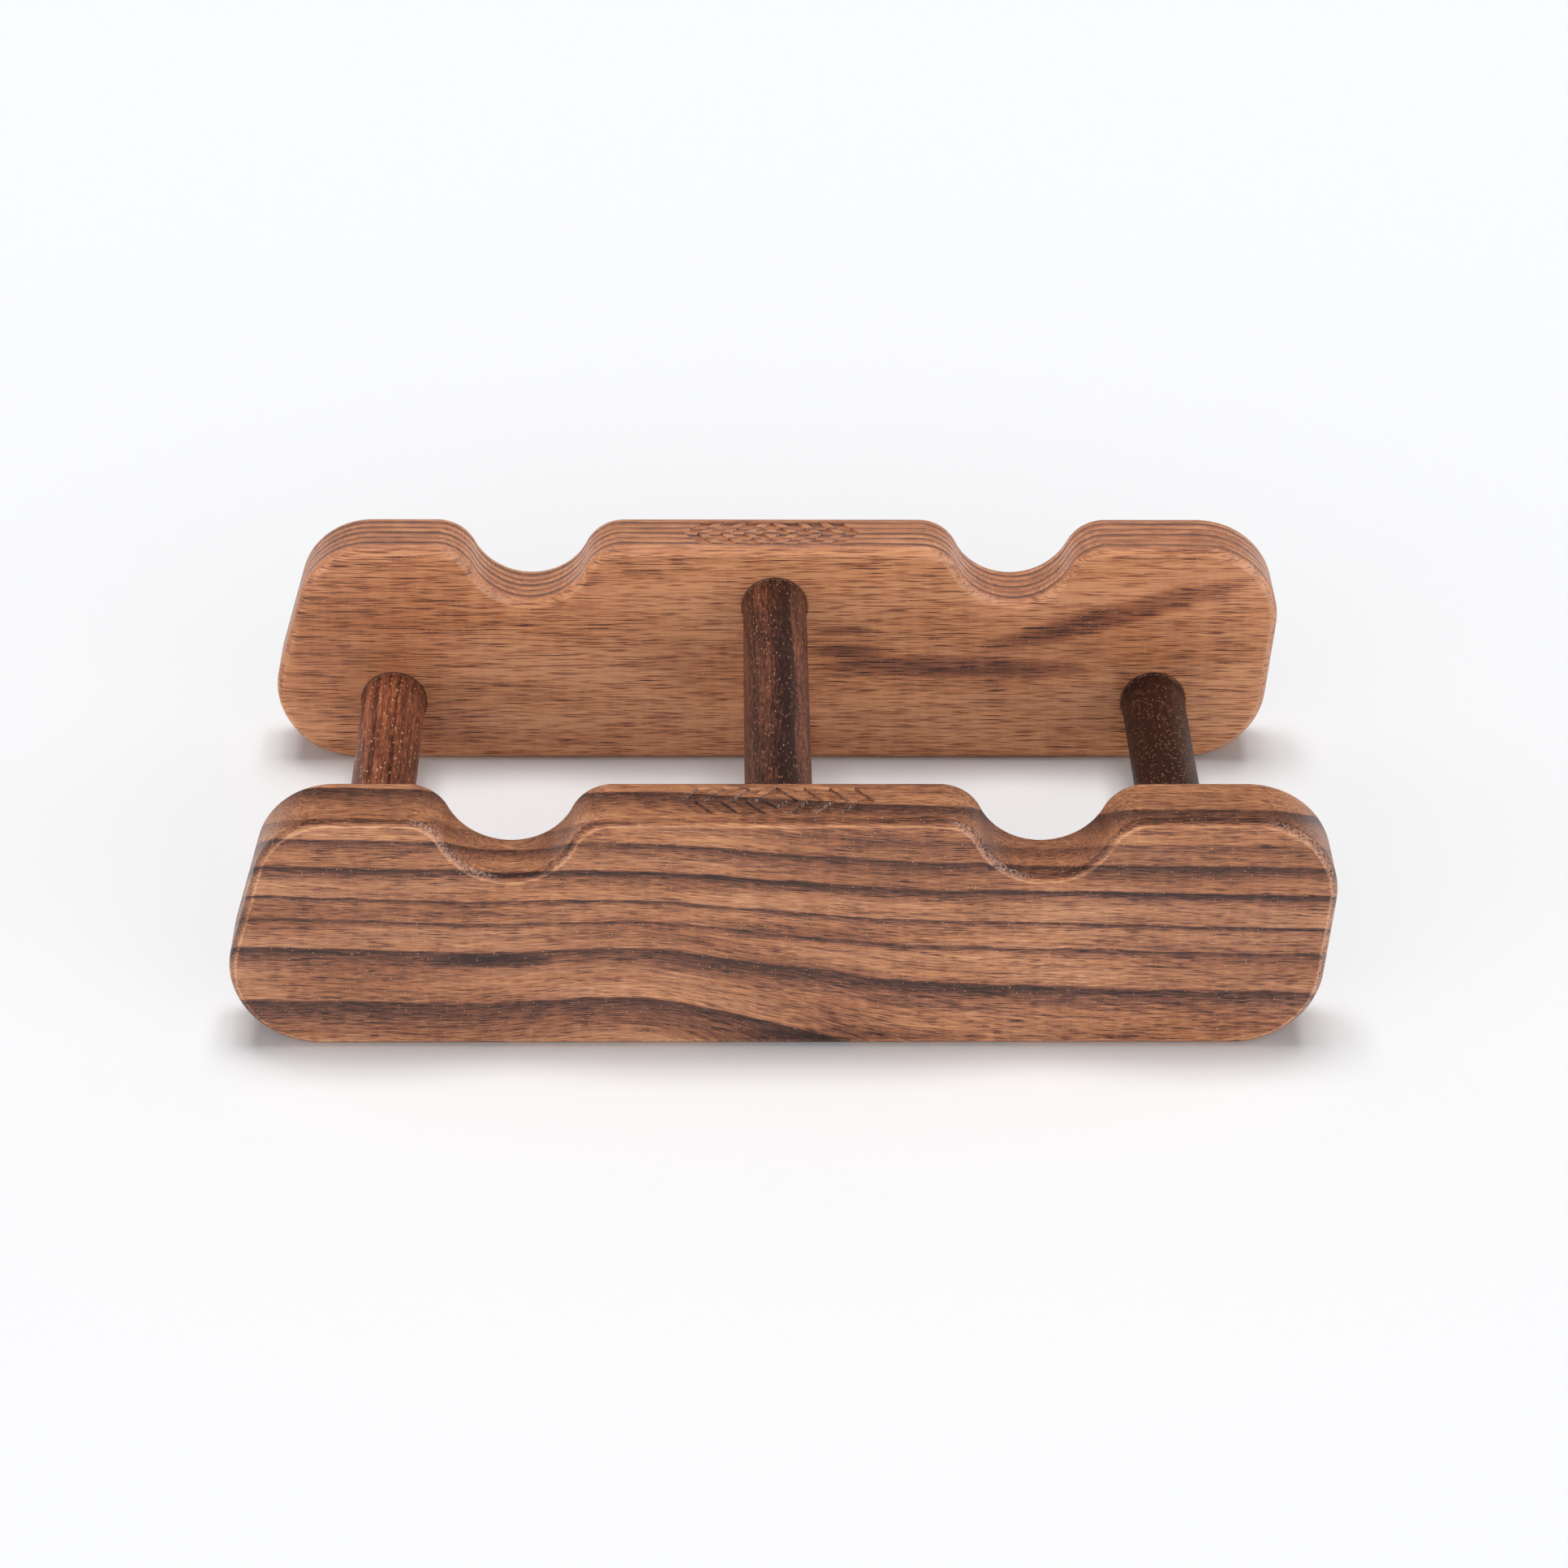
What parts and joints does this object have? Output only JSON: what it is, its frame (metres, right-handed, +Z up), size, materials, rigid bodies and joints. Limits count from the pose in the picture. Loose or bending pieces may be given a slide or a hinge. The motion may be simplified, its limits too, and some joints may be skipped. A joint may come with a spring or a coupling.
{
  "type": "razor stand",
  "caption": "Low wooden stand that holds razors lying across its parallel rails, in rounded notches; the rails are joined by plain round dowels.",
  "frame": {"origin": "on the surface that the stand rests on, under the middle of the whole stand", "axes": "+X along the rails, +Y from the front rail to the back rail, +Z up"},
  "size_m": [0.1914, 0.113, 0.046],
  "materials": {
    "front_rail_wood": "oiled walnut, satin",
    "back_rail_wood": "oiled walnut, satin",
    "left_dowel_wood": "oiled walnut, satin, reddish",
    "right_dowel_wood": "oiled walnut, satin, very dark",
    "centre_dowel_wood": "oiled walnut, satin, very dark"
  },
  "bodies": {
    "root": {"front_rail": "front_rail_wood", "back_rail": "back_rail_wood", "left_dowel": "left_dowel_wood", "right_dowel": "right_dowel_wood", "centre_dowel": "centre_dowel_wood"}
  },
  "joints": []
}
